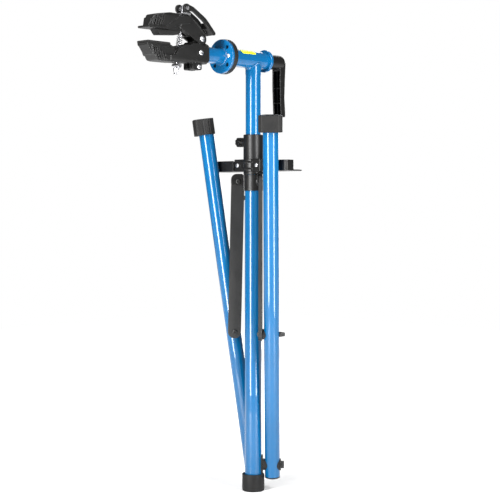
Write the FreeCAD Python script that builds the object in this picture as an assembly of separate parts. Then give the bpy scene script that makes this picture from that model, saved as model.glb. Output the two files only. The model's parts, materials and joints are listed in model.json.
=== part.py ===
"""Folding bike repair stand, stored upright on its mast foot.

Millimetres. Origin at the centre of the mast foot's underside, +Z up, clamp pointing to -X.
The two legs hinge at the bottom of the mast and are folded up beside it. The right leg is on
the -Y side and the left leg is its mirror image in the XZ plane.
"""
import FreeCAD, Part
import math
import os

# Fits
SNUG = 0.05          # radial gap between pieces of one body, and the running fit of shafts
GAP = 0.3            # gap between different moving bodies

# Mast
MAST_R = 19.0
TUBE_WALL = 1.5
MAST_BOTTOM = 6.0
MAST_TOP = 790.0
UPPER_R = 17.0
UPPER_BOTTOM = 74.0
FOOT_R = 25.0
FOOT_HEIGHT = 38.6

# Head
HEAD_Z = 963.5
SLEEVE_R = 19.0
SLEEVE_BORE_R = 16.0
NECK_FILLET = 5.0
SLEEVE_REAR_X = 33.0
SLEEVE_FRONT_X = -85.0
TIE_ROD_R = 5.0
FLANGE_R = 37.0
FRICTION_FRONT_X = -96.0
FLANGE_FRONT_X = -102.0
CLAMP_TUBE_END_X = -190.0

# Clamp, as (distance in front of the mast, height over the head axis)
BODY_HALF_WIDTH = 20.0
DECK_HALF_WIDTH = 16.0
NOSE_HALF_WIDTH = 14.5
BELLY_HALF_WIDTH = 17.5
POCKET_HALF_WIDTH = 14.0
PLATE_HALF_WIDTH = 17.5
DOME_HALF_WIDTH = 14.0
WEB_HALF_WIDTH = 11.0
LUG_HALF_WIDTH = 9.2
FORK_INNER = 9.6
FORK_OUTER = 14.6
PIVOT = (173.0, 30.0)
CAM_PIN = (215.0, 91.0)
TRUNNION = (233.0, -29.5)
PIVOT_PIN_R = 4.0
ARM_END_R = 13.4
CAM_PIN_R = 4.0
CLAMP_ROD_R = 3.0
CAM_R = 9.5
SPRING_SEAT = 4.7
WING_ANGLE = 63.0

# Crank
CRANK_HUB_R = 16.5
CRANK_HUB_START_X = 42.5
CRANK_HUB_END_X = 95.0
CRANK_DROP = 123.0
CRANK_HALF_WIDTH = 12.5

# Collars and tray
TOP_COLLAR_Z = (709.0, 798.0)
TOP_COLLAR_R = 22.0
BAND_R = 21.0
BAND_Z = (716.0, 743.0)
KNOB_Z = 782.0
SLIDE_COLLAR_Z = (673.0, 708.6)
SLIDE_COLLAR_R = 22.0
GUIDE_STUD_Z = 657.0
TRAY_FRONT_X = -22.0
TRAY_REAR_X = 8.0
TRAY_LIP_X = 38.0
TRAY_HALF_WIDTH = 119.0
TRAY_HUB_HALF_WIDTH = 36.0
TRAY_WALL = 2.2

# Legs, in the right side's own frame: x outwards, y across, z up
SIDE_ANGLE = 40.5    # between -X and the way a leg points
LEG_ACROSS = 43.0    # from the mast axis to the leg's plane
LEG_R = 17.0
LEG_BELOW = 29.5
LEG_ABOVE = 783.0
LEG_LEAN = 7.8
HINGE_Z = 59.0
HINGE_BOLT_R = 4.0
CAP_LENGTH = 36.0

# Struts
STRUT_ON_LEG = 300.0          # from the hinge to the strut's bolt, along the leg
STRUT_TOP = (33.0, 694.0)     # outwards from the mast axis, and height
STRUT_Y = (14.0, 22.0)
STRUT_R = 14.6
STRUT_WALL = 2.0
STRUT_PIN_R = 3.0

Z_AXIS = FreeCAD.Vector(0, 0, 1)
Y_AXIS = FreeCAD.Vector(0, 1, 0)
X_AXIS = FreeCAD.Vector(1, 0, 0)
ORIGIN = FreeCAD.Vector(0, 0, 0)


# ---------------------------------------------------------------- shape helpers

def cylinder(radius, start, direction, length):
    return Part.makeCylinder(radius, length, FreeCAD.Vector(*start), direction)


def ring(outer, inner, start, direction, length):
    return cylinder(outer, start, direction, length).cut(cylinder(inner, start, direction, length))


def box(low, high):
    size = [high[i] - low[i] for i in range(3)]
    return Part.makeBox(size[0], size[1], size[2], FreeCAD.Vector(*low))


def fuse(shapes):
    whole = shapes[0]
    for shape in shapes[1:]:
        whole = whole.fuse(shape)
    return whole.removeSplitter()


def cut(shape, tools):
    for tool in tools:
        shape = shape.cut(tool)
    return shape


def corner_points(before, corner, after):
    """The corner itself, or the start, middle and end of the arc that rounds it."""
    here = FreeCAD.Vector(corner[0], corner[1], 0)
    if len(corner) < 3:
        return [here]
    to_before = (FreeCAD.Vector(before[0], before[1], 0) - here).normalize()
    to_after = (FreeCAD.Vector(after[0], after[1], 0) - here).normalize()
    half_angle = to_before.getAngle(to_after) / 2
    radius = corner[2]
    reach = radius / math.tan(half_angle)
    inwards = (to_before + to_after).normalize()
    middle = here + inwards * (radius / math.sin(half_angle) - radius)
    return [here + to_before * reach, middle, here + to_after * reach]


def outline(corners, place):
    """Face inside (u, v) or (u, v, radius) corners; place turns u and v into a point."""
    count = len(corners)
    rounded = [corner_points(corners[i - 1], corners[i], corners[(i + 1) % count])
               for i in range(count)]
    rounded = [[place(p.x, p.y) for p in points] for points in rounded]
    edges = []
    for i in range(count):
        points = rounded[i]
        if len(points) == 3:
            edges.append(Part.Arc(points[0], points[1], points[2]).toShape())
        after = rounded[(i + 1) % count][0]
        if points[-1].distanceToPoint(after) > 1e-6:
            edges.append(Part.makeLine(points[-1], after))
    return Part.Face(Part.Wire(edges))


def plan_prism(corners, z_low, z_high):
    face = outline(corners, lambda x, y: FreeCAD.Vector(x, y, z_low))
    return face.extrude(Z_AXIS * (z_high - z_low))


def side_prism(corners, y_low, y_high):
    face = outline(corners, lambda x, z: FreeCAD.Vector(x, y_low, z))
    return face.extrude(Y_AXIS * (y_high - y_low))


def head_prism(corners, y_low, y_high):
    """Side profile of the clamp, given as distance in front of the mast and height."""
    placed = [(-c[0], HEAD_Z + c[1]) + tuple(c[2:]) for c in corners]
    return side_prism(placed, y_low, y_high)


def head_section(half_width, low, high, low_radius, high_radius, near, far):
    """Bar along the clamp with a rounded cross-section, for trimming a jaw's long edges."""
    corners = [(-half_width, low, low_radius), (half_width, low, low_radius),
               (half_width, high, high_radius), (-half_width, high, high_radius)]
    face = outline(corners, lambda y, h: FreeCAD.Vector(-far, y, HEAD_Z + h))
    return face.extrude(X_AXIS * (far - near))


def head_point(spot, y=0.0):
    return (-spot[0], y, HEAD_Z + spot[1])


def head_cylinder(radius, spot, y_low, y_high):
    return cylinder(radius, head_point(spot, y_low), Y_AXIS, y_high - y_low)


def turned(corners, start, direction):
    """Solid of revolution from a (radius, length) profile, its length along direction."""
    face = outline(corners, lambda r, z: FreeCAD.Vector(r, 0, z))
    solid = face.revolve(ORIGIN, Z_AXIS, 360)
    solid.Placement = FreeCAD.Placement(FreeCAD.Vector(*start),
                                        FreeCAD.Rotation(Z_AXIS, direction))
    return solid


def hexagon(flats, start, direction, length):
    """Hexagonal prism, flats across, its length along direction."""
    corner_r = flats / math.sqrt(3)
    corners = [(corner_r * math.cos(math.radians(60 * k)), corner_r * math.sin(math.radians(60 * k)))
               for k in range(6)]
    prism = plan_prism(corners, 0, length)
    prism.Placement = FreeCAD.Placement(FreeCAD.Vector(*start),
                                        FreeCAD.Rotation(Z_AXIS, direction))
    return prism


def nut(flats, bore, start, direction, length):
    return hexagon(flats, start, direction, length).cut(cylinder(bore, start, direction, length))


def button_screw(shank_r, head_r, head_height, start, direction, shank):
    """Domed socket screw: its head's flat side at start, its shank along direction."""
    profile = [(0, -head_height), (head_r, -head_height, head_height * 0.8), (head_r, 0),
               (shank_r, 0), (shank_r, shank), (0, shank)]
    screw = turned(profile, start, direction)
    rim = FreeCAD.Vector(*start) - direction * head_height
    return screw.cut(hexagon(head_r * 0.85, rim, direction, head_height * 0.6))


def to_right(shape):
    """From the right side's own frame to the part's frame."""
    turned_shape = shape.copy()
    turned_shape.rotate(ORIGIN, Z_AXIS, 180 + SIDE_ANGLE)
    return turned_shape


def to_left(shape):
    return to_right(shape).mirror(ORIGIN, Y_AXIS)


def lean(shape):
    """Tip a shape built on an upright leg to the leg's folded lean."""
    leaning = shape.copy()
    leaning.rotate(FreeCAD.Vector(0, 0, HINGE_Z), Y_AXIS, LEG_LEAN)
    return leaning


# ---------------------------------------------------------------- mast

def hinge_holes(radius):
    across = cylinder(radius, (0, 0, HINGE_Z), Y_AXIS, 2 * MAST_R)
    return [to_right(across), to_left(across)]


def lower_mast():
    length = MAST_TOP - MAST_BOTTOM
    tube = ring(MAST_R, MAST_R - TUBE_WALL, (0, 0, MAST_BOTTOM), Z_AXIS, length)
    stud_hole = cylinder(3.0 + GAP, (0, 0, KNOB_Z), Y_AXIS, 2 * MAST_R)
    guide_hole = to_left(cylinder(2.5 + SNUG, (0, 0, GUIDE_STUD_Z), X_AXIS, 2 * MAST_R))
    return cut(tube, hinge_holes(HINGE_BOLT_R + SNUG) + [stud_hole, guide_hole])


def mast_foot():
    floor = MAST_BOTTOM - SNUG
    seat = MAST_R + SNUG
    profile = [(0, 0), (FOOT_R, 0, 3.0), (FOOT_R, FOOT_HEIGHT, 1.5), (FOOT_R - 3.5, FOOT_HEIGHT, 1.0),
               (FOOT_R - 4.0, FOOT_HEIGHT - 2.0), (seat, FOOT_HEIGHT - 2.0), (seat, floor), (0, floor)]
    return turned(profile, (0, 0, 0), Z_AXIS)


def guide_stud():
    """Stud that keeps the sliding collar from turning on the mast."""
    inner = MAST_R - TUBE_WALL + SNUG
    profile = [(0, MAST_R - 2), (5.0, MAST_R - 2), (5.0, 21.2, 1.2), (0, 21.2)]
    seat = cylinder(MAST_R + SNUG, (0, 0, GUIDE_STUD_Z - 10), Z_AXIS, 20)
    head = turned(profile, (0, 0, GUIDE_STUD_Z), X_AXIS)
    shank = cylinder(2.5, (inner, 0, GUIDE_STUD_Z), X_AXIS, 3.0)
    return to_left(fuse([head.cut(seat), shank]))


def top_collar():
    low, high = TOP_COLLAR_Z
    seat = MAST_R + SNUG
    profile = [(seat, low), (TOP_COLLAR_R, low, 0.8), (TOP_COLLAR_R, BAND_Z[0] - 0.2),
               (BAND_R, BAND_Z[0] - 0.2), (BAND_R, BAND_Z[1] + 0.2), (TOP_COLLAR_R, BAND_Z[1] + 0.2),
               (TOP_COLLAR_R, high, 1.5), (UPPER_R + GAP, high), (UPPER_R + GAP, MAST_TOP + SNUG),
               (seat, MAST_TOP + SNUG)]
    sleeve = turned(profile, (0, 0, 0), Z_AXIS)
    boss = cylinder(9.0, (0, 19.6, KNOB_Z), Y_AXIS, 8.0)
    nut_pocket = hexagon(10.0 + 2 * SNUG, (0, 22.5, KNOB_Z), Y_AXIS, 6.0)
    stud_hole = cylinder(3.0 + GAP, (0, 0, KNOB_Z), Y_AXIS, 40.0)
    return cut(fuse([sleeve, boss]), [nut_pocket, stud_hole])


def knob_nut():
    return nut(10.0, 3.0 + SNUG, (0, 22.6, KNOB_Z), Y_AXIS, 4.8)


def collar_bush():
    outer = MAST_R - TUBE_WALL - SNUG
    bush = ring(outer, UPPER_R + 0.06, (0, 0, MAST_TOP - 50), Z_AXIS, 50)
    return bush.cut(cylinder(3.5, (0, 0, KNOB_Z), Y_AXIS, 2 * MAST_R))


def height_knob():
    """Eight-lobed knob on the +Y side of the top collar."""
    profile = [(3.0 + SNUG, 28.2), (6.5, 28.2), (6.5, 33.0), (11.0, 34.5, 1.0), (11.0, 47.5, 2.0),
               (3.0 + SNUG, 47.5)]
    knob = turned(profile, (0, 0, KNOB_Z), Y_AXIS)
    grooves = []
    for k in range(8):
        angle = math.radians(45 * k)
        centre = (12.0 * math.cos(angle), 33.5, KNOB_Z + 12.0 * math.sin(angle))
        grooves.append(cylinder(3.0, centre, Y_AXIS, 20))
    return cut(knob, grooves)


def knob_stud():
    tip_y = UPPER_R + 0.25
    return cylinder(3.0, (0, tip_y, KNOB_Z), Y_AXIS, 46.5 - tip_y)


def mast_end_bush():
    """Nylon bush that slides in the mast and carries the turning upper mast."""
    outer = MAST_R - TUBE_WALL - 0.06
    profile = [(13.0, 72.0), (outer, 72.0), (outer, 104.0), (UPPER_R + SNUG, 104.0),
               (UPPER_R + SNUG, UPPER_BOTTOM - SNUG), (13.0, UPPER_BOTTOM - SNUG)]
    return turned(profile, (0, 0, 0), Z_AXIS)


def upper_mast():
    tube = ring(UPPER_R, UPPER_R - TUBE_WALL, (0, 0, UPPER_BOTTOM), Z_AXIS, HEAD_Z - UPPER_BOTTOM)
    sleeve = cylinder(SLEEVE_R + SNUG, (-50, 0, HEAD_Z), X_AXIS, 100)
    return tube.cut(sleeve)


# ---------------------------------------------------------------- collar, tray

def tray_clamp():
    """Front half of the tray's clamp: flat ears and a half-round strap."""
    low, high = BAND_Z
    strap = ring(BAND_R + 3.0, BAND_R + SNUG, (0, 0, low), Z_AXIS, high - low)
    strap = strap.common(box((-30, -30, low), (-16.6, 30, high)))
    ears = plan_prism([(-20.6, -40.5, 3), (-20.6, 40.5, 3), (-16.6, 40.5), (-16.6, -40.5)], low, high)
    ribs = [box((-24.6, -15, z), (-18, 15, z + 2.5)) for z in (low + 5, high - 7.5)]
    bore = cylinder(BAND_R + SNUG, (0, 0, low - 1), Z_AXIS, high - low + 2)
    holes = [cylinder(2.6, (-30, y, 729.5), X_AXIS, 20) for y in (-29, 29)]
    return cut(fuse([strap, ears] + ribs), [bore] + holes)


def tray_half(side):
    """One open box of the tray, with the drilled lip behind it. side is 1 or -1."""
    low = BAND_Z[0]
    inner = TRAY_HUB_HALF_WIDTH - 3.0
    outer = TRAY_HALF_WIDTH
    shell = plan_prism([(TRAY_FRONT_X, inner), (TRAY_REAR_X, inner), (TRAY_REAR_X, outer, 10.0),
                        (TRAY_FRONT_X, outer, 6.0)], low, low + 24.0)
    room_front = TRAY_FRONT_X + TRAY_WALL
    room_rear = TRAY_REAR_X - TRAY_WALL
    room_inner = TRAY_HUB_HALF_WIDTH + TRAY_WALL
    room_outer = outer - TRAY_WALL
    room = plan_prism([(room_front, room_inner), (room_rear, room_inner),
                       (room_rear, room_outer, 8.0), (room_front, room_outer, 4.0)],
                      low + TRAY_WALL, low + 30.0)
    lip = plan_prism([(0, inner - 10), (TRAY_LIP_X, inner - 10, 8.0), (TRAY_LIP_X, outer, 14.0),
                      (0, outer, 14.0)], low, low + 3.0)
    holes = [cylinder(5.0, (23.0, y, low - 1), Z_AXIS, 6) for y in (45.0, 73.0, 101.0)]
    half = cut(fuse([shell.cut(room), lip.cut(room)]), holes)
    if side < 0:
        return half.mirror(ORIGIN, Y_AXIS)
    return half


def tool_tray():
    low, high = BAND_Z
    width = TRAY_HUB_HALF_WIDTH
    hub = plan_prism([(-16.3, -width), (28.0, -width, 8.0), (28.0, width, 8.0), (-16.3, width)], low, high)
    bore = cylinder(BAND_R + SNUG, (0, 0, low - 1), Z_AXIS, high - low + 2)
    pockets = [plan_prism([(-3, side * 25), (-3, side * 33), (22, side * 33), (22, side * 25)],
                          low + 3, high + 1) for side in (-1, 1)]
    screw_holes = [cylinder(2.55, (-17, y, 729.5), X_AXIS, 14) for y in (-29, 29)]
    whole = fuse([hub, tray_half(1), tray_half(-1)])
    clamp_room = box((-30, -41, low - 1), (-16.35, 41, high + 1))
    return cut(whole, [bore, clamp_room] + pockets + screw_holes)


def tray_screws():
    return [button_screw(2.5, 4.6, 2.6, (-20.65, y, 729.5), X_AXIS, 14.0) for y in (-29, 29)]


def collar_ear():
    """Cheek and hood that carry a strut's top pin, in the right side's frame."""
    pin_x, pin_z = STRUT_TOP
    hood_z = pin_z + STRUT_R + GAP
    top = hood_z + 2.2
    cheek = side_prism([(15, SLIDE_COLLAR_Z[0] + 8), (24, pin_z - 7), (pin_x + 13, pin_z - 7),
                        (pin_x + 16, pin_z - 4), (pin_x + 16, top, 13.0), (22.6, top),
                        (22.6, SLIDE_COLLAR_Z[1]), (15, SLIDE_COLLAR_Z[1])],
                       STRUT_Y[0] - GAP - 3.4, STRUT_Y[0] - GAP)
    hood = box((22.6, STRUT_Y[0] - GAP - 3.4, hood_z), (pin_x + 5, STRUT_Y[1] + 3, top))
    pin_hole = cylinder(STRUT_PIN_R + SNUG, (pin_x, 0, pin_z), Y_AXIS, 40)
    return fuse([cheek, hood]).cut(pin_hole)


def sliding_collar():
    low, high = SLIDE_COLLAR_Z
    sleeve = cylinder(SLIDE_COLLAR_R, (0, 0, low), Z_AXIS, high - low)
    key_boss = plan_prism([(10, -8.5), (24.2, -8.5, 2.5), (24.2, 8.5, 2.5), (10, 8.5)], low, high)
    ear = collar_ear()
    whole = fuse([sleeve, to_left(key_boss), to_right(ear), to_left(ear)])
    bore = cylinder(MAST_R + 0.08, (0, 0, low - 1), Z_AXIS, high - low + 2)
    keyway = box((0, -5.6, low - 1), (21.8, 5.6, high + 1))
    return cut(whole, [bore, to_left(keyway)])


def collar_pins():
    """Shouldered pins that the struts hang on, fixed in the collar's ears."""
    pin_x, pin_z = STRUT_TOP
    cheek_y = STRUT_Y[0] - GAP - 3.4
    pin = button_screw(STRUT_PIN_R, 5.6, 2.8, (pin_x, cheek_y - SNUG, pin_z), Y_AXIS,
                       STRUT_Y[0] + STRUT_WALL + 4.0 - cheek_y)
    return [to_right(pin), to_left(pin)]


# ---------------------------------------------------------------- leg hinges

def hinge_saddle():
    block = box((-7.5, 14, HINGE_Z - 19), (7.5, 22.0, HINGE_Z + 21))
    mast = cylinder(MAST_R + SNUG, (0, 0, 0), Z_AXIS, 200)
    hole = cylinder(HINGE_BOLT_R + SNUG, (0, 0, HINGE_Z), Y_AXIS, 40)
    foot_room = cylinder(FOOT_R + GAP, (0, 0, 0), Z_AXIS, FOOT_HEIGHT + GAP)
    return cut(block, [mast, hole, foot_room])


def hinge_bolt():
    head_y = 11.6
    head = hexagon(12.0, (0, head_y, HINGE_Z), Y_AXIS, 4.2)
    shank = cylinder(HINGE_BOLT_R, (0, head_y, HINGE_Z), Y_AXIS, 69.5 - head_y)
    return fuse([head, shank])


def hinge_nut():
    return nut(16.0, HINGE_BOLT_R + SNUG, (0, 62.6, HINGE_Z), Y_AXIS, 6.6)


# ---------------------------------------------------------------- legs, built upright

def leg_axis_cylinder(radius, low, high):
    return cylinder(radius, (0, LEG_ACROSS, HINGE_Z + low), Z_AXIS, high - low)


def across_cylinder(radius, height, y_low, y_high):
    """Cylinder across the leg's plane, its height counted up the leg from the hinge."""
    return cylinder(radius, (0, y_low, HINGE_Z + height), Y_AXIS, y_high - y_low)


def leg_tube():
    low, high = -LEG_BELOW + 3.0, LEG_ABOVE - 4.5
    tube = leg_axis_cylinder(LEG_R, low, high).cut(leg_axis_cylinder(LEG_R - TUBE_WALL, low, high))
    hinge_hole = across_cylinder(HINGE_BOLT_R + SNUG, 0, 0, 80)
    strut_hole = across_cylinder(STRUT_PIN_R + SNUG, STRUT_ON_LEG, 0, 80)
    return lean(cut(tube, [hinge_hole, strut_hole]))


def foot_cap():
    """Offset cap at the leg's free end: a flat sole on its outer side."""
    low = HINGE_Z + LEG_ABOVE - CAP_LENGTH
    high = HINGE_Z + LEG_ABOVE
    inner_x, sole_x = -19.0, 27.0
    half = 26.0
    across = LEG_ACROSS
    block = plan_prism([(inner_x, across - 12, 3), (-8, across - 21, 4), (6, across - half, 4),
                        (sole_x - 6, across - half, 3), (sole_x, across - 18, 3),
                        (sole_x, across + 18, 3), (sole_x - 6, across + half, 3),
                        (6, across + half, 4), (-8, across + 21, 4), (inner_x, across + 12, 3)],
                       low, high)
    socket = leg_axis_cylinder(LEG_R + SNUG, LEG_ABOVE - CAP_LENGTH, LEG_ABOVE - 4.0)
    flutes = [cylinder(1.7, (x, across + side * y, low - 1), Z_AXIS, high - low + 2)
              for x, y in ((-8, 21), (6, half), (sole_x - 6, half)) for side in (-1, 1)]
    relief = plan_prism([(20.5, across - 13, 1), (24.2, across - 13, 1), (24.2, across + 13, 1),
                         (20.5, across + 13, 1)], low - 1, high - 4)
    return lean(cut(block, [socket, relief] + flutes))


def leg_plug():
    low = -LEG_BELOW
    rim = leg_axis_cylinder(LEG_R, low, low + 3.0 - SNUG)
    spigot = leg_axis_cylinder(LEG_R - TUBE_WALL - SNUG, low + 1.0, low + 14.0)
    return lean(fuse([rim, spigot]))


def leg_spacers():
    """Saddle spacers on the leg: hinge inner and outer, and strut inner."""
    tube = leg_axis_cylinder(LEG_R + SNUG, -60, 400)
    outer_face = LEG_ACROSS + LEG_R + 2.3
    hinge_inner = across_cylinder(13.0, 0, STRUT_Y[1] + GAP, 34.0)
    hinge_outer = across_cylinder(13.5, 0, 52.0, outer_face)
    strut_inner = across_cylinder(11.5, STRUT_ON_LEG, STRUT_Y[1] + GAP, 33.0)
    hinge_hole = across_cylinder(HINGE_BOLT_R + SNUG, 0, 0, 80)
    strut_hole = across_cylinder(STRUT_PIN_R + SNUG, STRUT_ON_LEG, 0, 80)
    return [lean(cut(spacer, [tube, hinge_hole, strut_hole]))
            for spacer in (hinge_inner, hinge_outer, strut_inner)]


def leg_stud():
    """Stud that the strut turns on, and its tapered nut outside the leg."""
    start_y = STRUT_Y[1] + GAP
    nut_y = LEG_ACROSS + LEG_R + SNUG
    z = HINGE_Z + STRUT_ON_LEG
    shank = across_cylinder(STRUT_PIN_R, STRUT_ON_LEG, start_y, nut_y)
    cone = turned([(0, 0), (5.8, 0), (5.8, 2.0), (4.2, 12.5, 2.0), (0, 12.5)], (0, nut_y, z), Y_AXIS)
    return lean(fuse([shank, cone]))


# ---------------------------------------------------------------- struts

def strut_end():
    """Centre of the strut's lower pin, in the right side's frame."""
    angle = math.radians(LEG_LEAN)
    return (STRUT_ON_LEG * math.sin(angle), HINGE_Z + STRUT_ON_LEG * math.cos(angle))


def strut_length():
    end = strut_end()
    return math.hypot(end[0] - STRUT_TOP[0], end[1] - STRUT_TOP[1])


def tip_strut(shape):
    """Swing a strut built straight down from its top pin to its folded place."""
    end = strut_end()
    angle = math.degrees(math.atan2(end[0] - STRUT_TOP[0], STRUT_TOP[1] - end[1]))
    swung = shape.copy()
    swung.rotate(FreeCAD.Vector(STRUT_TOP[0], 0, STRUT_TOP[1]), Y_AXIS, -angle)
    return swung


def slot_prism(radius, y_low, y_high):
    """Round-ended bar shape from the strut's top pin to its lower pin."""
    x, z = STRUT_TOP
    low = z - strut_length()
    near = radius * 0.9999
    corners = [(x - radius, z + radius, near), (x + radius, z + radius, near),
               (x + radius, low - radius, near), (x - radius, low - radius, near)]
    return side_prism(corners, y_low, y_high)


def strut():
    """Pressed channel: a flat web towards the mast and a lip all round."""
    y_web, y_lip = STRUT_Y
    bar = slot_prism(STRUT_R, y_web, y_lip)
    hollow = slot_prism(STRUT_R - STRUT_WALL, y_web + STRUT_WALL, y_lip + 1)
    x, z = STRUT_TOP
    low = z - strut_length()
    holes = [cylinder(STRUT_PIN_R + SNUG, (x, 0, height), Y_AXIS, 40) for height in (z, low)]
    return tip_strut(cut(bar, [hollow] + holes))


def strut_pin():
    """Headed pin that the strut carries at its lower end."""
    x, z = STRUT_TOP
    y_web, y_lip = STRUT_Y
    pin = button_screw(STRUT_PIN_R, 5.8, 3.2, (x, y_web - SNUG, z - strut_length()), Y_AXIS,
                       y_lip - y_web)
    collar = ring(8.0, STRUT_PIN_R + SNUG, (x, y_web + STRUT_WALL + SNUG, z - strut_length()),
                  Y_AXIS, 5.5)
    return [tip_strut(pin), tip_strut(collar)]


# ---------------------------------------------------------------- head

def is_neck_seam(bounds):
    """True for an edge where the neck meets the underside of the sleeve."""
    curved = bounds.ZLength > 2 and bounds.XLength > 2
    return curved and bounds.ZMax < HEAD_Z and bounds.ZMin > HEAD_Z - SLEEVE_R - 1


def head_sleeve():
    """Cross sleeve with the filleted neck that is welded to the upper mast."""
    length = SLEEVE_REAR_X - SLEEVE_FRONT_X
    sleeve = cylinder(SLEEVE_R, (SLEEVE_FRONT_X, 0, HEAD_Z), X_AXIS, length)
    neck = cylinder(UPPER_R + 0.6, (0, 0, HEAD_Z - 32), Z_AXIS, 32)
    whole = sleeve.fuse(neck)
    joint_edges = [edge for edge in whole.Edges if is_neck_seam(edge.BoundBox)]
    whole = whole.makeFillet(NECK_FILLET, joint_edges)
    tube_room = cylinder(UPPER_R + SNUG, (0, 0, HEAD_Z - 40), Z_AXIS, 40)
    tube_room = tube_room.cut(cylinder(SLEEVE_R, (-60, 0, HEAD_Z), X_AXIS, 120))
    bore = cylinder(SLEEVE_BORE_R, (SLEEVE_FRONT_X - 1, 0, HEAD_Z), X_AXIS, length + 2)
    return cut(whole, [tube_room, bore])


def sleeve_ring():
    return turned([(16.0, 0), (25.0, 0, 1.2), (25.0, 7.0, 1.2), (16.0, 7.0)],
                  (SLEEVE_REAR_X + SNUG, 0, HEAD_Z), X_AXIS)


def head_bushes():
    outer = SLEEVE_BORE_R - SNUG
    rear = ring(outer, TIE_ROD_R + SNUG, (SLEEVE_REAR_X - 16, 0, HEAD_Z), X_AXIS, 16)
    front = ring(outer, TIE_ROD_R + SNUG, (SLEEVE_FRONT_X, 0, HEAD_Z), X_AXIS, 16)
    return [rear, front]


def friction_disc():
    thickness = SLEEVE_FRONT_X - FRICTION_FRONT_X - SNUG
    return turned([(TIE_ROD_R + GAP, 0), (FLANGE_R + 0.6, 0, 1.0), (FLANGE_R + 0.6, thickness, 1.0),
                   (TIE_ROD_R + GAP, thickness)], (FRICTION_FRONT_X, 0, HEAD_Z), X_AXIS)


def sleeve_label():
    patch = ring(SLEEVE_R + 0.35, SLEEVE_R + SNUG, (-50, 0, HEAD_Z), X_AXIS, 42)
    return patch.common(box((-60, -16, HEAD_Z + 9), (20, 12, HEAD_Z + 30)))


def front_flange():
    thickness = FRICTION_FRONT_X - FLANGE_FRONT_X - GAP
    disc = turned([(TIE_ROD_R + GAP, 0), (FLANGE_R, 0, 0.8), (FLANGE_R, thickness, 0.8),
                   (TIE_ROD_R + GAP, thickness)], (FLANGE_FRONT_X, 0, HEAD_Z), X_AXIS)
    holes = []
    for k in range(4):
        angle = math.radians(45 + 90 * k)
        centre = (FLANGE_FRONT_X - 1, 27.0 * math.cos(angle), HEAD_Z + 27.0 * math.sin(angle))
        holes.append(cylinder(4.5, centre, X_AXIS, thickness + 2))
    screw_hole = cylinder(2.5, (FLANGE_FRONT_X - 1, -23.0, HEAD_Z), X_AXIS, 3.0)
    return cut(disc, holes + [screw_hole])


def flange_screw():
    return button_screw(2.4, 4.4, 2.6, (FLANGE_FRONT_X - SNUG, -23.0, HEAD_Z), X_AXIS, 1.5)


def clamp_tube():
    start = CLAMP_TUBE_END_X
    length = FLANGE_FRONT_X - SNUG - start
    tube = ring(UPPER_R, UPPER_R - TUBE_WALL, (start, 0, HEAD_Z), X_AXIS, length)
    cross_hole = head_cylinder(3.05, (181, 0), -30, 30)
    return tube.cut(cross_hole)


def tube_insert():
    return ring(UPPER_R - TUBE_WALL - SNUG, TIE_ROD_R + SNUG, (-126, 0, HEAD_Z), X_AXIS, 14)


# ---------------------------------------------------------------- clamp

def flank_grooves(spots, half_width, path):
    """Grooves in both flanks of a jaw: a strip along path, repeated at each spot."""
    width, depth = 3.4, 2.8
    grooves = []
    for spot in spots:
        front = [(spot + s + width / 2, h) for s, h in path]
        back = [(spot + s - width / 2, h) for s, h in reversed(path)]
        for low in (-half_width - 10, half_width - depth):
            grooves.append(head_prism(front + back, low, low + 10 + depth))
    return grooves


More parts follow.
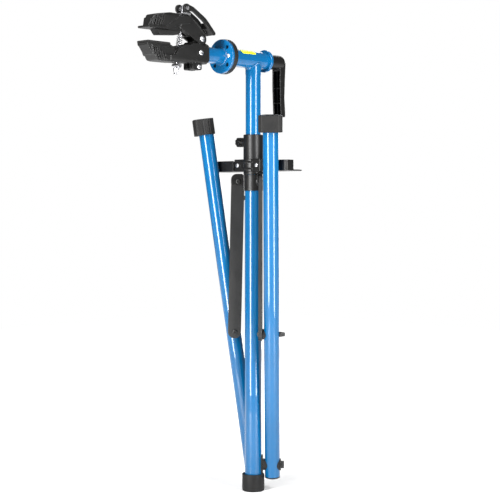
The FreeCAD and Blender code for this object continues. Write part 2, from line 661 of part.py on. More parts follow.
def clamp_body():
    """Fixed lower jaw with its socket for the clamp tube."""
    wide = BODY_HALF_WIDTH
    rear = head_prism([(156, -20, 8), (250, -24, 10), (266, -24.5, 2), (266, 3, 2), (247, 0, 2),
                       (238, 6, 2), (229, 13, 3), (212, 14, 4), (200, 19, 6), (156, 19, 8)],
                      -wide, wide)
    rear = rear.common(head_section(wide, -26.5, 20, 11.0, 1.5, 150, 330))
    belly = head_prism([(250, -24.4), (300, -25, 12), (313, -12, 8), (317, 6), (250, 6)],
                       -BELLY_HALF_WIDTH, BELLY_HALF_WIDTH)
    belly = belly.common(head_section(BELLY_HALF_WIDTH, -26.5, 20, 7.0, 0.5, 200, 330))
    nose = head_prism([(290, -13, 1), (313, -13, 2), (328, 6, 1.5), (328, 10), (290, 10)],
                      -NOSE_HALF_WIDTH, NOSE_HALF_WIDTH)
    deck = head_prism([(248, 1), (327, 4.5, 1), (329, 10), (262, 10, 2)],
                      -DECK_HALF_WIDTH, DECK_HALF_WIDTH)
    pocket = [(295, 4), (291, -3, 6), (280, -10, 8), (264, -11.5, 5), (254, -9.5, 4), (246, 0),
              (246, 4)]
    pockets = [head_prism(pocket, low, low + 10)
               for low in (POCKET_HALF_WIDTH, -POCKET_HALF_WIDTH - 10)]
    socket_cap = cylinder(24.0, (-200, 0, HEAD_Z), X_AXIS, 44)
    socket_cap = socket_cap.common(box((-210, -wide, HEAD_Z - 22), (-150, wide, HEAD_Z + 22)))
    lug = head_prism([(158, 10), (158, 34, 10), (173, 42, 13), (187, 32, 10), (200, 14)],
                     -LUG_HALF_WIDTH, LUG_HALF_WIDTH)
    ears = [head_prism([(173, -18), (173, -36, 4), (200, -36, 3), (200, -18)], side * 8.5 - 5.5,
                       side * 8.5 + 5.5) for side in (-1, 1)]
    whole = fuse([rear, belly, nose, deck, socket_cap, lug] + ears)
    fork_room = [head_cylinder(ARM_END_R + 0.6, PIVOT, y, y + 12.0)
                 for y in (-LUG_HALF_WIDTH - 12.0, LUG_HALF_WIDTH)]
    bore = cylinder(UPPER_R + SNUG, (CLAMP_TUBE_END_X - SNUG, 0, HEAD_Z), X_AXIS, 60)
    cross_hole = head_cylinder(3.05, (181, 0), -30, 30)
    ear_hole = head_cylinder(3.05, (182, -29), -30, 30)
    pivot_hole = head_cylinder(PIVOT_PIN_R + SNUG, PIVOT, -30, 30)
    rod_slot = head_prism([(215, -40), (241, -40), (241, 30), (215, 30)], -4.5, 4.5)
    seat = rod_spot(SPRING_SEAT)
    spring_room = tilt_to_rod(cylinder(7.2, head_point(seat), Z_AXIS, 30), seat)
    groove_path = [(0, 2), (-1, -8), (-5, -18), (-12, -30)]
    grooves = flank_grooves((312, 305.5, 299, 292.5, 286), BELLY_HALF_WIDTH, groove_path)
    return cut(whole, fork_room + [bore, cross_hole, ear_hole, pivot_hole, rod_slot, spring_room]
               + pockets + grooves)


def lower_pad():
    """Rubber-faced pad on the fixed jaw, with shallow cross ribs on top."""
    base = head_prism([(264, 10.1), (327, 10.1), (330, 12.5, 1), (328, 15, 1), (266, 15, 2)],
                      -DECK_HALF_WIDTH, DECK_HALF_WIDTH)
    cuts = [head_prism([(s, 13.6), (s + 2, 13.6), (s + 2, 20), (s, 20)], -12, 12)
            for s in range(272, 322, 6)]
    return cut(base, cuts)


def clamp_bolts():
    """Cross bolt through the clamp tube and pinch bolt through the ears."""
    wide = BODY_HALF_WIDTH + SNUG
    cross = [button_screw(3.0, 5.6, 3.0, head_point((181, 0), -wide), Y_AXIS, 2 * wide + 4),
             nut(9.0, 3.05, head_point((181, 0), wide), Y_AXIS, 4.0)]
    pinch = [button_screw(3.0, 5.2, 3.0, head_point((182, -29), -14.05), Y_AXIS, 32.0),
             nut(9.0, 3.05, head_point((182, -29), 14.05), Y_AXIS, 4.0)]
    return cross + pinch


def jaw_pivot_pin():
    outer = FORK_OUTER + GAP
    head = button_screw(PIVOT_PIN_R, 6.2, 3.0, head_point(PIVOT, -outer), Y_AXIS, 2 * outer + 4.5)
    return [head, nut(11.0, PIVOT_PIN_R + SNUG, head_point(PIVOT, outer), Y_AXIS, 4.0)]


def upper_jaw():
    """Hinged jaw: flat plate, domed back, cam seat and a forked arm to the pivot."""
    wide = PLATE_HALF_WIDTH
    plate = head_prism([(326, 41, 2.2), (326, 46, 2.2), (276, 46.5, 10), (246, 67, 8), (228, 74, 3),
                        (212, 74, 3), (206, 60, 3), (222, 57, 3), (240, 55, 6), (266, 41.5, 10)],
                       -wide, wide)
    web = head_prism([(300, 41), (300, 46), (262, 50), (240, 66), (222, 66), (206, 58), (232, 41)],
                     -WEB_HALF_WIDTH, WEB_HALF_WIDTH)
    dome_half = DOME_HALF_WIDTH
    dome = head_prism([(320, 45), (314, 61, 4), (304, 71, 8), (258, 78.5, 6), (228, 77.5, 2),
                       (206, 77.5, 2), (206, 58), (230, 46)], -dome_half, dome_half)
    dome = dome.common(head_section(dome_half, 40, 79, 1.0, 9.0, 200, 325))
    tapers = [plan_prism([(-311, side * dome_half), (-326, side * dome_half), (-326, side * 5)],
                         HEAD_Z + 46.2, HEAD_Z + 90) for side in (-1, 1)]
    dome = cut(dome, tapers)
    arm = head_prism([(162, 37, 3), (204, 73, 4), (222, 73), (236, 48, 3), (184, 22.5)],
                     -FORK_OUTER, FORK_OUTER)
    arm_end = head_cylinder(ARM_END_R, PIVOT, -FORK_OUTER, FORK_OUTER)
    whole = fuse([plate, web, dome, arm, arm_end])
    fork_gap = head_prism([(150, 0), (150, 44), (188, 60), (205, 46), (205, 0)],
                          -FORK_INNER, FORK_INNER)
    rod_slot = head_prism([(207, 30), (207, 90), (222, 90), (231, 30)], -4.0, 4.0)
    pivot_hole = head_cylinder(PIVOT_PIN_R + SNUG, PIVOT, -30, 30)
    cam_room = head_cylinder(CAM_R + GAP, CAM_PIN, -16, 16)
    grooves = flank_grooves((314, 307.5, 301, 294.5, 288), dome_half, [(0, 49), (-3, 60), (-8, 74)])
    return cut(whole, [fork_gap, rod_slot, pivot_hole, cam_room] + grooves)


def upper_pad():
    """Narrow ribbed pad under the hinged jaw."""
    half = 10.5
    low = [(232, 34.3), (289, 29.4)]
    slope = (low[0][1] - low[1][1]) / (low[1][0] - low[0][0])
    base = head_prism([(233, 40.9), (*low[0], 2), (*low[1], 2), (299, 40.9)], -half, half)
    cuts = []
    for s in range(244, 286, 6):
        depth_h = low[1][1] + (low[1][0] - s) * slope + 1.6
        cuts.append(head_prism([(s, 10), (s, depth_h), (s + 2, depth_h), (s + 2, 10)], -8, 8))
    return cut(base, cuts)


def cam_saddle():
    """Pressed seat under the cams, slotted for the rod."""
    top = CAM_PIN[1] - CAM_R - GAP
    seat = head_prism([(205.5, 77.6), (227.5, 77.6), (227.5, top, 1), (205.5, top, 1)], -14.5, 14.5)
    slot = head_prism([(207, 70), (207, 90), (224, 90), (225.5, 70)], -4.0, 4.0)
    return seat.cut(slot)


def tilt_to_rod(shape, spot):
    """Tilt a shape built upright at spot so that its axis lies along the clamp rod."""
    angle = math.degrees(math.atan2(TRUNNION[0] - CAM_PIN[0], CAM_PIN[1] - TRUNNION[1]))
    tilted = shape.copy()
    tilted.rotate(FreeCAD.Vector(*head_point(spot)), Y_AXIS, angle)
    return tilted


def rod_spot(h):
    """Distance from the mast and height of the rod's axis at height h."""
    share = (CAM_PIN[1] - h) / (CAM_PIN[1] - TRUNNION[1])
    return (CAM_PIN[0] + share * (TRUNNION[0] - CAM_PIN[0]), h)


def clamp_rod():
    """Threaded rod with an eye for the lever's pin."""
    length = math.hypot(TRUNNION[0] - CAM_PIN[0], CAM_PIN[1] - TRUNNION[1]) + 19.0
    x, y, z = head_point(CAM_PIN)
    rod = cylinder(CLAMP_ROD_R, (x, y, z - length), Z_AXIS, length)
    eye = head_cylinder(6.5, CAM_PIN, -3.6, 3.6)
    pin_hole = head_cylinder(CAM_PIN_R + SNUG, CAM_PIN, -10, 10)
    return tilt_to_rod(fuse([rod, eye]).cut(pin_hole), CAM_PIN)


def lever_pin():
    return head_cylinder(CAM_PIN_R, CAM_PIN, -15.5, 15.5)


def qr_lever():
    """Cam lever with two arms joined at the thumb end."""
    arms = head_prism([(216, 100.4, 2), (196, 95, 20), (160, 75, 60), (131, 46, 3), (133, 41, 2),
                       (140, 42.5, 3), (166, 67, 50), (197, 85.5, 8), (212, 86)], -14, 14)
    cams = head_cylinder(CAM_R, CAM_PIN, -14, 14)
    whole = fuse([arms, cams])
    middle = head_prism([(230, 70), (230, 110), (152, 110), (152, 50), (180, 60)], -8.6, 8.6)
    thumb = head_prism([(151.5, 40), (151.5, 60.5), (128, 36), (140, 30)], -8, 8)
    pin_hole = head_cylinder(CAM_PIN_R + SNUG, CAM_PIN, -20, 20)
    return cut(whole, [middle, pin_hole, thumb])


def rod_trunnion():
    """Half-round barrel under the fixed jaw that lets the rod tilt."""
    barrel = head_cylinder(5.0, TRUNNION, -10, 10)
    x, y, z = head_point(TRUNNION)
    hole = tilt_to_rod(cylinder(CLAMP_ROD_R + 0.4, (x, y, z - 20), Z_AXIS, 40), TRUNNION)
    return barrel.cut(hole)


def wing_nut():
    x, y, z = head_point(TRUNNION)
    top = z - 5.6
    hub = turned([(0, 0), (6.5, 0), (5.0, 9.0, 1.0), (0, 9.0)], (x, y, top), Z_AXIS * -1)
    wing = [(-2, top - 1), (-2, top - 9), (-7, top - 14, 2), (-12, top - 11, 2), (-11, top - 4, 2)]
    left = side_prism([(x + p[0],) + tuple(p[1:]) for p in wing], -1.4, 1.4)
    right = side_prism([(x - p[0],) + tuple(p[1:]) for p in wing], -1.4, 1.4)
    hole = cylinder(CLAMP_ROD_R + 0.08, (x, y, top - 30), Z_AXIS, 40)
    whole = fuse([hub, left, right]).cut(hole)
    whole.rotate(FreeCAD.Vector(x, y, z), Z_AXIS, WING_ANGLE)
    return tilt_to_rod(whole, TRUNNION)


def jaw_spring():
    """Compression spring on the rod between the jaws."""
    wire_r, coil_r, turns, length = 0.9, 5.6, 6, 28.0
    helix = Part.makeHelix(length / turns, length, coil_r)
    section = Part.Wire(Part.makeCircle(wire_r, FreeCAD.Vector(coil_r, 0, 0), Y_AXIS))
    coil = Part.Wire(helix.Edges).makePipeShell([section], True, True)
    start = rod_spot(SPRING_SEAT + 1.3)
    x, y, z = head_point(start)
    coil.translate(FreeCAD.Vector(x, y, z))
    return tilt_to_rod(coil, start)


# ---------------------------------------------------------------- crank

def tie_rod():
    return cylinder(TIE_ROD_R, (-124, 0, HEAD_Z), X_AXIS, 124 + 60)


def crank_washer():
    return ring(15.0, TIE_ROD_R + SNUG, (SLEEVE_REAR_X + 7.4, 0, HEAD_Z), X_AXIS, 1.8)


def crank_handle():
    """L-shaped handle: round hub and a channel-shaped grip hanging from it."""
    hub = turned([(0, 0), (CRANK_HUB_R, 0, 1.0), (CRANK_HUB_R, 52.5, 13.0), (0, 52.5)],
                 (CRANK_HUB_START_X, 0, HEAD_Z), X_AXIS)
    half = CRANK_HALF_WIDTH
    bottom = HEAD_Z - CRANK_DROP
    grip = side_prism([(75, HEAD_Z), (75, HEAD_Z - 55, 80), (78, bottom + 6, 3), (79, bottom, 2),
                       (92.5, bottom, 3), (92.5, bottom + 12, 6), (90, HEAD_Z - 80, 60),
                       (92, HEAD_Z - 30, 60), (94, HEAD_Z)], -half, half)
    channel = side_prism([(60, HEAD_Z - 19), (60, bottom + 4), (88.5, bottom + 4),
                          (87, HEAD_Z - 60), (88.5, HEAD_Z - 19)], -half + 2.6, half - 2.6)
    spine = side_prism([(77, HEAD_Z - 16), (80, bottom + 2), (91, bottom + 2), (90.5, HEAD_Z - 16)],
                       -1.1, 1.1)
    ribs = [box((79, -half + 1, z), (89, half - 1, z + 2.2)) for z in (HEAD_Z - 58, HEAD_Z - 92)]
    rod_hole = cylinder(TIE_ROD_R + SNUG, (CRANK_HUB_START_X - 1, 0, HEAD_Z), X_AXIS, 18.6)
    return fuse([hub, grip.cut(channel), spine] + ribs).cut(rod_hole)


# ---------------------------------------------------------------- the whole stand

def side_nodes(name, place):
    """The nodes of one leg and its strut; place puts them on the right or left."""
    single = {"leg_tube": leg_tube(), "foot_cap": foot_cap(), "leg_plug": leg_plug(),
              "leg_stud": leg_stud(), "strut": strut()}
    groups = {"leg_spacers": leg_spacers(), "strut_pin": strut_pin()}
    nodes = {name + "_" + key: [place(shape)] for key, shape in single.items()}
    for key, shapes in groups.items():
        nodes[name + "_" + key] = [place(shape) for shape in shapes]
    return nodes


def all_nodes():
    nodes = {
        "lower_mast": lower_mast(), "mast_foot": mast_foot(), "guide_stud": guide_stud(),
        "top_collar": top_collar(), "knob_nut": knob_nut(), "collar_bush": collar_bush(),
        "tray_clamp": tray_clamp(), "tool_tray": tool_tray(), "tray_screws": tray_screws(),
        "hinge_saddles": [to_right(hinge_saddle()), to_left(hinge_saddle())],
        "hinge_bolts": [to_right(hinge_bolt()), to_left(hinge_bolt())],
        "hinge_nuts": [to_right(hinge_nut()), to_left(hinge_nut())],
        "height_knob": height_knob(), "knob_stud": knob_stud(),
        "mast_end_bush": mast_end_bush(), "upper_mast": upper_mast(),
        "head_sleeve": head_sleeve(), "sleeve_ring": sleeve_ring(), "head_bushes": head_bushes(),
        "friction_disc": friction_disc(), "sleeve_label": sleeve_label(),
        "front_flange": front_flange(), "flange_screw": flange_screw(),
        "clamp_tube": clamp_tube(), "tube_insert": tube_insert(),
        "clamp_body": clamp_body(), "lower_pad": lower_pad(), "clamp_bolts": clamp_bolts(),
        "jaw_pivot_pin": jaw_pivot_pin(), "jaw_spring": jaw_spring(),
        "upper_jaw": upper_jaw(), "upper_pad": upper_pad(), "cam_saddle": cam_saddle(),
        "clamp_rod": clamp_rod(), "lever_pin": lever_pin(), "qr_lever": qr_lever(),
        "rod_trunnion": rod_trunnion(), "wing_nut": wing_nut(),
        "tie_rod": tie_rod(), "crank_washer": crank_washer(), "crank_handle": crank_handle(),
        "sliding_collar": sliding_collar(), "collar_pins": collar_pins(),
    }
    nodes.update(side_nodes("right", to_right))
    nodes.update(side_nodes("left", to_left))
    return nodes


def write_nodes():
    os.makedirs("parts", exist_ok=True)
    for name, shapes in all_nodes().items():
        shape = shapes
        if isinstance(shapes, list):
            shape = shapes[0] if len(shapes) == 1 else Part.makeCompound(shapes)
        shape.exportStep("parts/" + name + ".step")
        volumes = [round(solid.Volume) for solid in shape.Solids]
        print(name, "solids", volumes, "valid", shape.isValid())


write_nodes()
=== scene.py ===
"""Looks for the folding bike repair stand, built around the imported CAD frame. Metres."""
import json
import math

import bmesh
import bpy
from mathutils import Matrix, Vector


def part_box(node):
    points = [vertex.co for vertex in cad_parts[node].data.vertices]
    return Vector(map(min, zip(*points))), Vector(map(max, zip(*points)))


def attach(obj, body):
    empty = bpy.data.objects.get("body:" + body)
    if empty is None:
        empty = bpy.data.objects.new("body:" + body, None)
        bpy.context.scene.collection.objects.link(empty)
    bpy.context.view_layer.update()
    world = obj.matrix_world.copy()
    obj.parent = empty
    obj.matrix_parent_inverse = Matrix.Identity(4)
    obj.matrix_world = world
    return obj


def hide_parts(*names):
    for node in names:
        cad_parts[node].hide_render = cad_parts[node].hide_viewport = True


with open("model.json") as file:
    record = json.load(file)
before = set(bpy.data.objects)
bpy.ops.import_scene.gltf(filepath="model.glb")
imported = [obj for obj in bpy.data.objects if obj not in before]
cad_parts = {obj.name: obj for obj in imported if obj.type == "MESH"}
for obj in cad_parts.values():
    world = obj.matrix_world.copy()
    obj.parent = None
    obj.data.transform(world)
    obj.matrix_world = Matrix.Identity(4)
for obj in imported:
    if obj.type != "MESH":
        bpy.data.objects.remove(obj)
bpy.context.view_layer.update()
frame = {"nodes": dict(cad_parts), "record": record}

# Camera: where it stands, how far it looks down, and its lens
CAMERA_PLACE = (-2.1252, -2.0264, 0.6458)
CAMERA_HEADING = 46.22     # degrees clockwise from +Y, seen from above
CAMERA_PITCH = 2.047
CAMERA_LENS = 94.6

# Upright lamps: angle from the camera's side, distance, width and height, power
LAMPS = (("strip_left", -38, 1.15, (0.28, 1.9), 50),
         ("strip_right", 42, 1.15, (0.24, 1.9), 38),
         ("strip_back", 165, 2.4, (0.8, 2.4), 30))

OVERHEAD_HEIGHT = 3.2
OVERHEAD_SIZE = (2.4, 2.4)
OVERHEAD_POWER = 24

FILL_LEVEL = 0.14          # strength of the world's light on surfaces
FLOOR_SIZE = 7
FLOOR_GLOW = 0.95          # keeps the far floor as light as the backdrop
GLOW_START, GLOW_FULL = 0.15, 1.1      # distances from the stand where the glow grows

# Mouldings
EDGE_SMOOTHING = 0.5       # share of the way to its neighbours that a point moves in each pass
KEPT_FACES = 0.35          # share of a remeshed moulding's faces that stays

# Weld beads
BEAD_POINTS = 276          # points around a bead
BEAD_SIDES = 10            # sides of its round section
BEAD_RIPPLES = 46
RIPPLE_HEIGHT = 0.10       # share of the bead's radius
BEAD_LIFT = 0.0006         # a bead's centre line stands this far off the metal
MAST_BEAD_R = 0.0021
FLANGE_BEAD_R = 0.0018


# ---------------------------------------------------------------- materials

class Nodes:
    """A material's node tree, with short calls for the nodes used here."""

    def __init__(self, name):
        self.material = bpy.data.materials.new(name)
        self.material.use_nodes = True
        self.tree = self.material.node_tree
        self.shader = self.tree.nodes["Principled BSDF"]
        self.coords = self.tree.nodes.new("ShaderNodeTexCoord").outputs["Object"]

    def link(self, source, target):
        self.tree.links.new(source, target)

    def mapped(self, stretch):
        mapping = self.tree.nodes.new("ShaderNodeMapping")
        mapping.inputs["Scale"].default_value = stretch
        self.link(self.coords, mapping.inputs["Vector"])
        return mapping.outputs["Vector"]

    def noise(self, scale, detail=3.0, stretch=None):
        noise = self.tree.nodes.new("ShaderNodeTexNoise")
        noise.inputs["Scale"].default_value = scale
        noise.inputs["Detail"].default_value = detail
        self.link(self.mapped(stretch) if stretch else self.coords, noise.inputs["Vector"])
        return noise.outputs["Fac"]

    def cells(self, scale):
        cells = self.tree.nodes.new("ShaderNodeTexVoronoi")
        cells.inputs["Scale"].default_value = scale
        self.link(self.coords, cells.inputs["Vector"])
        return cells.outputs["Distance"]

    def distance_fade(self, near, far):
        """0 within near of the object's origin, rising to 1 at far."""
        length = self.tree.nodes.new("ShaderNodeVectorMath")
        length.operation = "LENGTH"
        self.link(self.coords, length.inputs[0])
        remap = self.tree.nodes.new("ShaderNodeMapRange")
        remap.inputs["From Min"].default_value = near
        remap.inputs["From Max"].default_value = far
        self.link(length.outputs["Value"], remap.inputs["Value"])
        return remap.outputs["Result"]

    def ramp(self, source, stops):
        """Colour ramp through (position, colour) stops."""
        ramp = self.tree.nodes.new("ShaderNodeValToRGB")
        points = ramp.color_ramp.elements
        while len(points) < len(stops):
            points.new(0.5)
        for point, (position, colour) in zip(points, stops):
            point.position = position
            point.color = tuple(colour) + (1.0,)
        self.link(source, ramp.inputs["Fac"])
        return ramp.outputs["Color"]

    def spread(self, source, low, high):
        """Map 0..1 onto low..high."""
        remap = self.tree.nodes.new("ShaderNodeMapRange")
        remap.inputs["To Min"].default_value = low
        remap.inputs["To Max"].default_value = high
        self.link(source, remap.inputs["Value"])
        return remap.outputs["Result"]

    def bump(self, source, strength, distance):
        bump = self.tree.nodes.new("ShaderNodeBump")
        bump.inputs["Strength"].default_value = strength
        bump.inputs["Distance"].default_value = distance
        self.link(source, bump.inputs["Height"])
        self.link(bump.outputs["Normal"], self.shader.inputs["Normal"])


def blue_paint():
    """Glossy powder coat: fine orange peel and a slight drift in its colour."""
    m = Nodes("blue_paint")
    colour = m.ramp(m.noise(9.0), [(0.3, (0.0, 0.069, 0.178)), (0.7, (0.0, 0.077, 0.200))])
    m.link(colour, m.shader.inputs["Base Color"])
    m.link(m.spread(m.noise(140.0), 0.30, 0.38), m.shader.inputs["Roughness"])
    m.shader.inputs["Specular IOR Level"].default_value = 0.12
    m.shader.inputs["Coat Weight"].default_value = 1.0
    m.shader.inputs["Coat IOR"].default_value = 1.45
    m.shader.inputs["Coat Roughness"].default_value = 0.04
    m.bump(m.noise(900.0, 2.0), 0.02, 0.0002)
    return m.material


def black_plastic():
    """Moulded glass-filled nylon with a fine spark-eroded grain."""
    m = Nodes("black_plastic")
    colour = m.ramp(m.noise(60.0), [(0.3, (0.0030, 0.0030, 0.0029)), (0.7, (0.0055, 0.0054, 0.0052))])
    m.link(colour, m.shader.inputs["Base Color"])
    m.link(m.spread(m.noise(350.0), 0.30, 0.44), m.shader.inputs["Roughness"])
    m.shader.inputs["Specular IOR Level"].default_value = 0.32
    m.bump(m.cells(1900.0), 0.16, 0.0002)
    return m.material


def rubber():
    """Matte moulded rubber with dusty patches."""
    m = Nodes("rubber")
    colour = m.ramp(m.noise(35.0, 5.0), [(0.35, (0.006, 0.006, 0.006)), (0.75, (0.011, 0.0105, 0.010))])
    m.link(colour, m.shader.inputs["Base Color"])
    m.link(m.spread(m.noise(200.0), 0.42, 0.62), m.shader.inputs["Roughness"])
    m.shader.inputs["Specular IOR Level"].default_value = 0.18
    m.bump(m.noise(1500.0, 4.0), 0.22, 0.0003)
    return m.material


def black_metal():
    """Satin black paint over pressed steel."""
    m = Nodes("black_metal")
    colour = m.ramp(m.noise(25.0), [(0.3, (0.005, 0.005, 0.005)), (0.7, (0.009, 0.009, 0.009))])
    m.link(colour, m.shader.inputs["Base Color"])
    m.link(m.spread(m.noise(260.0), 0.36, 0.50), m.shader.inputs["Roughness"])
    m.bump(m.noise(900.0, 2.0), 0.08, 0.0002)
    return m.material


def steel():
    """Zinc-plated steel with fine drawn scratches."""
    m = Nodes("steel")
    streaks = m.noise(260.0, 4.0, stretch=(1.0, 9.0, 1.0))
    colour = m.ramp(streaks, [(0.3, (0.55, 0.56, 0.58)), (0.7, (0.78, 0.78, 0.80))])
    m.link(colour, m.shader.inputs["Base Color"])
    m.shader.inputs["Metallic"].default_value = 1.0
    m.link(m.spread(streaks, 0.18, 0.38), m.shader.inputs["Roughness"])
    m.bump(streaks, 0.06, 0.0002)
    return m.material


def threaded_steel():
    """Bright steel rod with a fine rolled thread; painted shade darkens the thread's grooves."""
    m = Nodes("threaded_steel")
    waves = m.tree.nodes.new("ShaderNodeTexWave")
    waves.bands_direction = "Z"
    waves.inputs["Scale"].default_value = 1.0
    waves.inputs["Distortion"].default_value = 0.0
    m.link(m.mapped((0.0, 0.0, 250.0)), waves.inputs["Vector"])
    # colour: painted shade, darker in the thread's grooves where the bump's waves dip, steel-bright on
    # the crests
    colour = m.ramp(waves.outputs["Fac"], [(0.1, (0.30, 0.30, 0.32)), (0.7, (0.76, 0.76, 0.78))])
    m.link(colour, m.shader.inputs["Base Color"])
    m.shader.inputs["Metallic"].default_value = 1.0
    m.link(m.spread(m.noise(300.0), 0.18, 0.30), m.shader.inputs["Roughness"])
    m.bump(waves.outputs["Fac"], 0.6, 0.0006)
    return m.material


def nylon():
    """Off-white bushes, slightly translucent."""
    m = Nodes("nylon")
    colour = m.ramp(m.noise(40.0), [(0.3, (0.62, 0.62, 0.57)), (0.7, (0.74, 0.73, 0.68))])
    m.link(colour, m.shader.inputs["Base Color"])
    m.link(m.spread(m.noise(180.0), 0.38, 0.5), m.shader.inputs["Roughness"])
    m.shader.inputs["Subsurface Weight"].default_value = 0.1
    m.shader.inputs["Subsurface Radius"].default_value = (0.002, 0.002, 0.002)
    m.bump(m.noise(700.0, 2.0), 0.06, 0.0002)
    return m.material


def label():
    """Yellow-green film with a few plain dark bars."""
    m = Nodes("label")
    bars = m.tree.nodes.new("ShaderNodeTexBrick")
    bars.inputs["Scale"].default_value = 1.0
    bars.inputs["Mortar Size"].default_value = 0.32
    bars.inputs["Brick Width"].default_value = 1.6
    bars.inputs["Row Height"].default_value = 1.0
    m.link(m.mapped((150.0, 260.0, 260.0)), bars.inputs["Vector"])
    film = m.ramp(m.noise(80.0), [(0.3, (0.66, 0.78, 0.01)), (0.7, (0.74, 0.86, 0.02))])
    m.link(film, bars.inputs["Mortar"])
    bars.inputs["Color1"].default_value = (0.02, 0.03, 0.02, 1.0)
    bars.inputs["Color2"].default_value = (0.66, 0.78, 0.02, 1.0)
    m.link(bars.outputs["Color"], m.shader.inputs["Base Color"])
    m.link(m.spread(m.noise(300.0), 0.3, 0.4), m.shader.inputs["Roughness"])
    m.bump(m.noise(600.0, 2.0), 0.05, 0.0001)
    return m.material


MATERIALS = {maker.__name__: maker() for maker in
             (blue_paint, black_plastic, rubber, black_metal, steel, threaded_steel, nylon, label)}


def dress(piece, name):
    """Give a piece one material."""
    piece.data.materials.clear()
    piece.data.materials.append(MATERIALS[name])


def node_homes():
    """Body and material slot of every CAD node."""
    bodies = {node: body for body, nodes in frame["record"]["behaviour"]["bodies"].items()
              for node in nodes}
    return {part["node"]: (bodies[part["node"]], part["material_slot"])
            for part in frame["record"]["subparts"]}


def dress_cad_nodes():
    """Each CAD node takes its record's material; the clamp rod also gets its thread."""
    for part in frame["record"]["subparts"]:
        node = frame["nodes"][part["node"]]
        name = "threaded_steel" if part["node"] == "clamp_rod" else part["material_slot"]
        for slot in node.material_slots:
            slot.material = MATERIALS[name]


# ---------------------------------------------------------------- moulded pieces

# CAD node -> voxel size in metres, smoothing passes
MOULDED = {
    "clamp_body": (0.0005, 5),
    "upper_jaw": (0.0005, 5),
    "lower_pad": (0.0005, 3),
    "upper_pad": (0.0005, 3),
    "qr_lever": (0.0005, 5),
    "crank_handle": (0.0007, 4),
    "height_knob": (0.0006, 3),
    "sliding_collar": (0.0007, 4),
    "top_collar": (0.0007, 4),
    "tray_clamp": (0.0007, 4),
    "tool_tray": (0.0009, 4),
    "left_foot_cap": (0.0007, 4),
    "right_foot_cap": (0.0007, 4),
    "wing_nut": (0.0004, 3),
}


def closed_copy(node):
    """Closed mesh with a CAD node's shape: its doubled edge points are merged."""
    mesh = bpy.data.meshes.new(node + "_copy")
    work = bmesh.new()
    work.from_mesh(frame["nodes"][node].data)
    bmesh.ops.remove_doubles(work, verts=work.verts, dist=1e-6)
    work.to_mesh(mesh)
    work.free()
    return mesh


def softened_mesh(node, voxel, passes):
    """Mesh of a CAD node's shape with its edges rounded off."""
    draft = bpy.data.objects.new(node + "_draft", closed_copy(node))
    bpy.context.scene.collection.objects.link(draft)
    remesh = draft.modifiers.new("remesh", "REMESH")
    remesh.mode = "VOXEL"
    remesh.voxel_size = voxel
    soften = draft.modifiers.new("soften", "SMOOTH")
    soften.factor = EDGE_SMOOTHING
    soften.iterations = passes
    thin_out = draft.modifiers.new("thin_out", "DECIMATE")
    thin_out.ratio = KEPT_FACES
    evaluated = draft.evaluated_get(bpy.context.evaluated_depsgraph_get())
    mesh = bpy.data.meshes.new_from_object(evaluated)
    bpy.data.objects.remove(draft)
    mesh.shade_smooth()
    return mesh


def mould(node, voxel, passes, body, slot):
    """Stand in for a CAD node with its own shape and softened, moulded edges."""
    piece = bpy.data.objects.new(node + "_moulding", softened_mesh(node, voxel, passes))
    bpy.context.scene.collection.objects.link(piece)
    dress(piece, slot)
    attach(piece, body)
    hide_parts(node)


def bead_sections(ring_points, radius):
    """Round sections of a rippled bead, one row of places for each point of its ring."""
    count = len(ring_points)
    middle = sum(ring_points, Vector()) / count
    rows = []
    for k, point in enumerate(ring_points):
        along = (ring_points[(k + 1) % count] - ring_points[k - 1]).normalized()
        outward = (point - middle).cross(along).cross(along).normalized()
        across = along.cross(outward)
        size = radius * (1 + RIPPLE_HEIGHT * abs(math.sin(math.pi * BEAD_RIPPLES * k / count)))
        rows.append([point + size * (math.cos(a) * outward + math.sin(a) * across)
                     for a in (2 * math.pi * j / BEAD_SIDES for j in range(BEAD_SIDES))])
    return rows


def tube_mesh(name, sections):
    """Closed tube through rows of places, the last joined to the first."""
    work = bmesh.new()
    rows = [[work.verts.new(place) for place in section] for section in sections]
    sides = len(rows[0])
    for k, near in enumerate(rows):
        far = rows[(k + 1) % len(rows)]
        for j in range(sides):
            work.faces.new((near[j], near[(j + 1) % sides], far[(j + 1) % sides], far[j]))
    bmesh.ops.recalc_face_normals(work, faces=work.faces)
    mesh = bpy.data.meshes.new(name)
    work.to_mesh(mesh)
    work.free()
    mesh.shade_smooth()
    return mesh


def add_bead(name, ring_points, radius, body):
    """Weld bead along a closed ring of points."""
    piece = bpy.data.objects.new(name, tube_mesh(name, bead_sections(ring_points, radius)))
    bpy.context.scene.collection.objects.link(piece)
    dress(piece, "blue_paint")
    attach(piece, body)


def make_weld_beads():
    """Beads where the mast meets the head sleeve, and the clamp tube its flange."""
    low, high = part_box("head_sleeve")
    sleeve_r = (high[1] - low[1]) / 2
    axis_z = high[2] - sleeve_r
    low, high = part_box("upper_mast")
    ring_r = (high[1] - low[1]) / 2 + BEAD_LIFT
    circle = [(ring_r * math.cos(a), ring_r * math.sin(a))
              for a in (2 * math.pi * k / BEAD_POINTS for k in range(BEAD_POINTS))]
    saddle = [Vector((x, y, axis_z - math.sqrt(sleeve_r ** 2 - y ** 2) - BEAD_LIFT))
              for x, y in circle]
    add_bead("mast_weld_bead", saddle, MAST_BEAD_R, "upper")
    flange_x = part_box("front_flange")[0][0] - BEAD_LIFT
    collar = [Vector((flange_x, y, axis_z + z)) for y, z in circle]
    add_bead("flange_weld_bead", collar, FLANGE_BEAD_R, "clamp")


def make_mouldings():
    """Every moulded piece, on the body and in the material of its CAD node."""
    homes = node_homes()
    for node, (voxel, passes) in MOULDED.items():
        mould(node, voxel, passes, *homes[node])


# ---------------------------------------------------------------- stage

def heading_vectors():
    """Level unit vectors along the camera's view and to its right."""
    angle = math.radians(CAMERA_HEADING)
    forward = Vector((math.sin(angle), math.cos(angle), 0))
    right = Vector((math.cos(angle), -math.sin(angle), 0))
    return forward, right


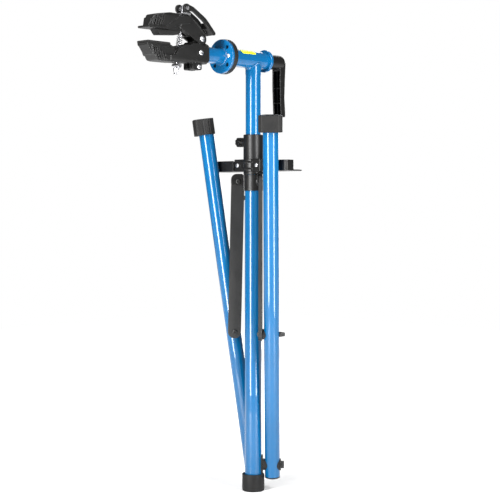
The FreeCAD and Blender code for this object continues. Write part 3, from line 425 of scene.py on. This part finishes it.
def make_camera():
    data = bpy.data.cameras.new("camera")
    data.lens = CAMERA_LENS
    camera = bpy.data.objects.new("camera", data)
    camera.location = CAMERA_PLACE
    camera.rotation_euler = (math.radians(90 - CAMERA_PITCH), 0, -math.radians(CAMERA_HEADING))
    bpy.context.scene.collection.objects.link(camera)
    bpy.context.scene.camera = camera


def make_light(name, place, size, power, target):
    """Rectangular lamp at a place, aimed at a target."""
    data = bpy.data.lights.new(name, "AREA")
    data.shape = "RECTANGLE"
    data.size, data.size_y = size
    data.energy = power
    lamp = bpy.data.objects.new(name, data)
    lamp.location = place
    aim = Vector(target) - Vector(place)
    lamp.rotation_euler = aim.to_track_quat("-Z", "Y").to_euler()
    bpy.context.scene.collection.objects.link(lamp)


def make_lights():
    """Upright strips around the stand and one soft lamp above it."""
    forward, right = heading_vectors()
    for name, angle, distance, size, power in LAMPS:
        turn = math.radians(angle)
        side = distance * (right * math.sin(turn) - forward * math.cos(turn))
        middle = Vector((0, 0, 0.05 + size[1] / 2))
        make_light(name, middle + side, size, power, target=middle)
    make_light("overhead", (0, 0, OVERHEAD_HEIGHT), OVERHEAD_SIZE, OVERHEAD_POWER, target=(0, 0, 0.55))


def make_world():
    """White backdrop for the eye, dimmer fill for the surfaces."""
    world = bpy.data.worlds.new("studio")
    world.use_nodes = True
    tree = world.node_tree
    background = tree.nodes["Background"]
    background.inputs["Color"].default_value = (1, 1, 1, 1)
    path = tree.nodes.new("ShaderNodeLightPath")
    level = tree.nodes.new("ShaderNodeMapRange")
    level.inputs["To Min"].default_value = FILL_LEVEL
    level.inputs["To Max"].default_value = 1.0
    tree.links.new(path.outputs["Is Camera Ray"], level.inputs["Value"])
    tree.links.new(level.outputs["Result"], background.inputs["Strength"])
    bpy.context.scene.world = world
    bpy.context.scene.view_settings.view_transform = "Standard"


def make_floor():
    """Pale floor that glows with distance, so it runs into the backdrop."""
    bpy.ops.mesh.primitive_plane_add(size=FLOOR_SIZE, location=(0, 0, 0))
    floor = bpy.context.object
    floor.name = "floor"
    m = Nodes("floor")
    colour = m.ramp(m.noise(1.5), [(0.3, (0.80, 0.80, 0.80)), (0.7, (0.83, 0.83, 0.83))])
    m.link(colour, m.shader.inputs["Base Color"])
    m.shader.inputs["Roughness"].default_value = 0.6
    m.shader.inputs["Emission Color"].default_value = (1, 1, 1, 1)
    m.link(m.spread(m.distance_fade(GLOW_START, GLOW_FULL), 0.0, FLOOR_GLOW),
           m.shader.inputs["Emission Strength"])
    floor.data.materials.append(m.material)


make_camera()
make_lights()
make_world()
make_floor()
dress_cad_nodes()
make_mouldings()
make_weld_beads()
